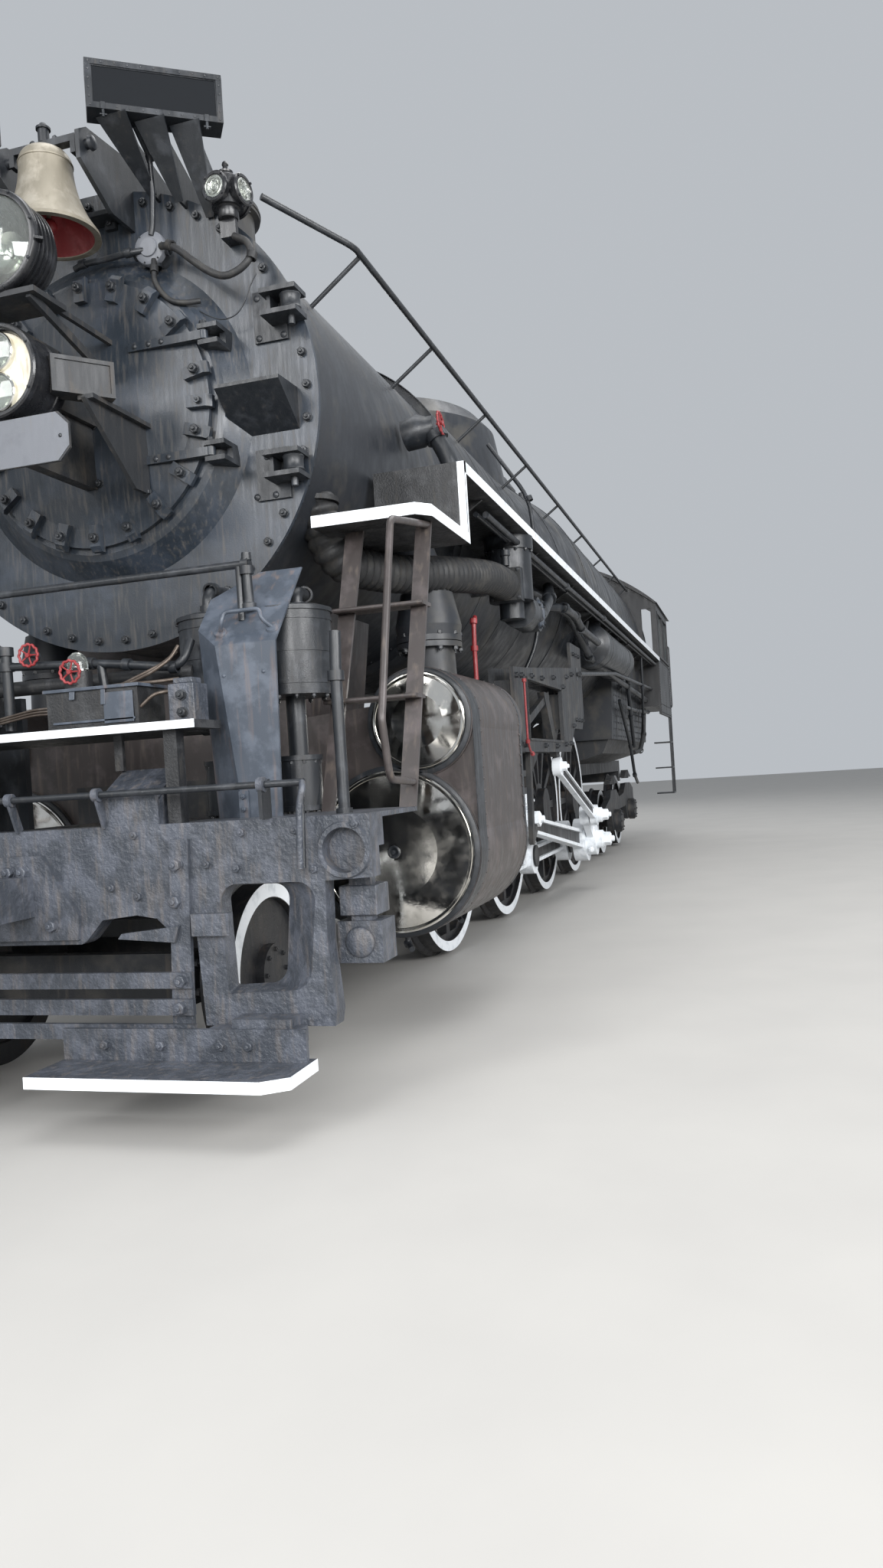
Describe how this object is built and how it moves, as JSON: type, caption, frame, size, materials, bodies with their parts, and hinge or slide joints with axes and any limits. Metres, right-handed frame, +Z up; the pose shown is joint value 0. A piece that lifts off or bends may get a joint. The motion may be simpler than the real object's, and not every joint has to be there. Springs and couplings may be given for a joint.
{
  "type": "steam locomotive",
  "caption": "Heavy freight steam locomotive without its tender: boiler, smokebox door, cylinders and rods, coupled driving wheels, swivelling trucks, swinging bell, hollow cab.",
  "frame": {"origin": "middle of the bounding box in length and width, at the lowest point of the wheel flanges", "axes": "+X forward along the track, +Y to the engine's left, +Z up"},
  "size_m": [16.727, 3.284, 4.7779],
  "materials": {
    "black_jacket": "worn satin black paint",
    "front_black": "glossy blue-black enamel, streaked",
    "cast_grey": "rough blue-grey paint over cast steel",
    "frame_black": "dull black paint",
    "fitting_black": "black paint on cast iron fittings",
    "sheet_grey": "worn blue-grey sheet",
    "brown_grey": "brown-grey worn sheet",
    "polished_cover": "polished steel",
    "rod_white": "white paint",
    "wheel_black": "black paint, white tyre sides",
    "lamp_black": "black paint, clear glass in front",
    "bell_metal": "grey-tan weathered bronze, red inside",
    "lagging": "black spiral-wound lagging",
    "cab_black": "dark satin paint",
    "board_black": "textured black plate with white edge"
  },
  "bodies": {
    "engine": {"boiler_barrel": "black_jacket", "firebox": "black_jacket", "smokebox": "black_jacket", "smokebox_front": "front_black", "stack": "black_jacket", "bell_bracket": "fitting_black", "number_boards": "fitting_black", "marker_lamps": "fitting_black", "front_fittings": "fitting_black", "engine_bed": "frame_black", "drag_casting": "frame_black", "cylinders": "brown_grey", "cylinder_covers": "polished_cover", "crosshead_guides": "frame_black", "crossheads": "rod_white", "main_rods": "rod_white", "eccentric_rods": "rod_white", "valve_gear_frames": "frame_black", "valve_rods": "fitting_black", "pilot_beam": "cast_grey", "pilot_steps": "cast_grey", "footboards": "cast_grey", "front_coupler": "cast_grey", "front_deck": "board_black", "pump_shields": "sheet_grey", "air_pumps": "fitting_black", "running_boards": "board_black", "front_ladders": "brown_grey", "handrails": "fitting_black", "sand_dome": "black_jacket", "steam_dome": "black_jacket", "top_fittings": "fitting_black", "hot_water_pump": "fitting_black", "lagged_pipe": "lagging", "steam_pipes": "black_jacket", "air_reservoirs": "fitting_black", "cab_body": "cab_black", "cab_roof": "cab_black", "cab_fittings": "fitting_black", "ash_pan": "frame_black", "brake_rigging": "frame_black"},
    "smokebox_door": {"smokebox_door": "front_black", "headlight": "lamp_black", "signal_lamp": "lamp_black", "door_lamp_bracket": "fitting_black"},
    "bell": {"bell": "bell_metal", "bell_yoke": "fitting_black"},
    "lead_truck": {"lead_truck_frame": "frame_black"},
    "lead_wheels": {"lead_wheelset": "wheel_black"},
    "trailing_truck": {"trailing_truck_frame": "frame_black"},
    "trail_front_wheels": {"trail_front_wheelset": "wheel_black"},
    "trail_rear_wheels": {"trail_rear_wheelset": "wheel_black"},
    "driver_1": {"driver_1_wheelset": "wheel_black"},
    "driver_2": {"driver_2_wheelset": "wheel_black"},
    "driver_3": {"driver_3_wheelset": "wheel_black"},
    "driver_4": {"driver_4_wheelset": "wheel_black"},
    "side_rod_left": {"side_rod_left": "rod_white"},
    "side_rod_right": {"side_rod_right": "rod_white"}
  },
  "joints": [
    {"name": "driver_3_spin", "type": "hinge", "parent": "engine", "child": "driver_3", "pos_m": [0.2485, 0, 0.9045], "axis": [0, 1, 0], "continuous": true},
    {"name": "driver_1_spin", "type": "hinge", "parent": "engine", "child": "driver_1", "pos_m": [3.9565, 0, 0.9045], "axis": [0, 1, 0], "continuous": true},
    {"name": "driver_2_spin", "type": "hinge", "parent": "engine", "child": "driver_2", "pos_m": [2.1025, 0, 0.9045], "axis": [0, 1, 0], "continuous": true},
    {"name": "driver_4_spin", "type": "hinge", "parent": "engine", "child": "driver_4", "pos_m": [-1.6055, 0, 0.9045], "axis": [0, 1, 0], "continuous": true},
    {"name": "side_rod_left_pin", "type": "hinge", "parent": "driver_3", "child": "side_rod_left", "pos_m": [0.05238, 0.97, 0.51959], "axis": [0, 1, 0], "continuous": true},
    {"name": "side_rod_right_pin", "type": "hinge", "parent": "driver_3", "child": "side_rod_right", "pos_m": [-0.13641, -0.97, 1.10062], "axis": [0, 1, 0], "continuous": true},
    {"name": "lead_truck_swivel", "type": "hinge", "parent": "engine", "child": "lead_truck", "pos_m": [5.4565, 0, 0.473], "axis": [0, 0, 1], "range_deg": [-3.5, 3.5]},
    {"name": "lead_wheels_spin", "type": "hinge", "parent": "lead_truck", "child": "lead_wheels", "pos_m": [6.9285, 0, 0.447], "axis": [0, 1, 0], "continuous": true},
    {"name": "trailing_truck_swivel", "type": "hinge", "parent": "engine", "child": "trailing_truck", "pos_m": [-2.3935, 0, 0.648], "axis": [0, 0, 1], "range_deg": [-2.5, 2.5]},
    {"name": "trail_front_wheels_spin", "type": "hinge", "parent": "trailing_truck", "child": "trail_front_wheels", "pos_m": [-4.0945, 0, 0.485], "axis": [0, 1, 0], "continuous": true},
    {"name": "trail_rear_wheels_spin", "type": "hinge", "parent": "trailing_truck", "child": "trail_rear_wheels", "pos_m": [-5.8725, 0, 0.574], "axis": [0, 1, 0], "continuous": true},
    {"name": "smokebox_door_hinge", "type": "hinge", "parent": "engine", "child": "smokebox_door", "pos_m": [6.8815, 0.642, 3.157], "axis": [0, 0, 1], "range_deg": [0, 110]},
    {"name": "bell_swing", "type": "hinge", "parent": "engine", "child": "bell", "pos_m": [7.0965, 0, 4.298], "axis": [0, 1, 0], "range_deg": [-40, 15]}
  ],
  "couplings": [
    {"joint": "driver_1_spin", "follows": "driver_3_spin", "ratio": 1},
    {"joint": "driver_2_spin", "follows": "driver_3_spin", "ratio": 1},
    {"joint": "driver_4_spin", "follows": "driver_3_spin", "ratio": 1},
    {"joint": "side_rod_left_pin", "follows": "driver_3_spin", "ratio": -1},
    {"joint": "side_rod_right_pin", "follows": "driver_3_spin", "ratio": -1}
  ]
}
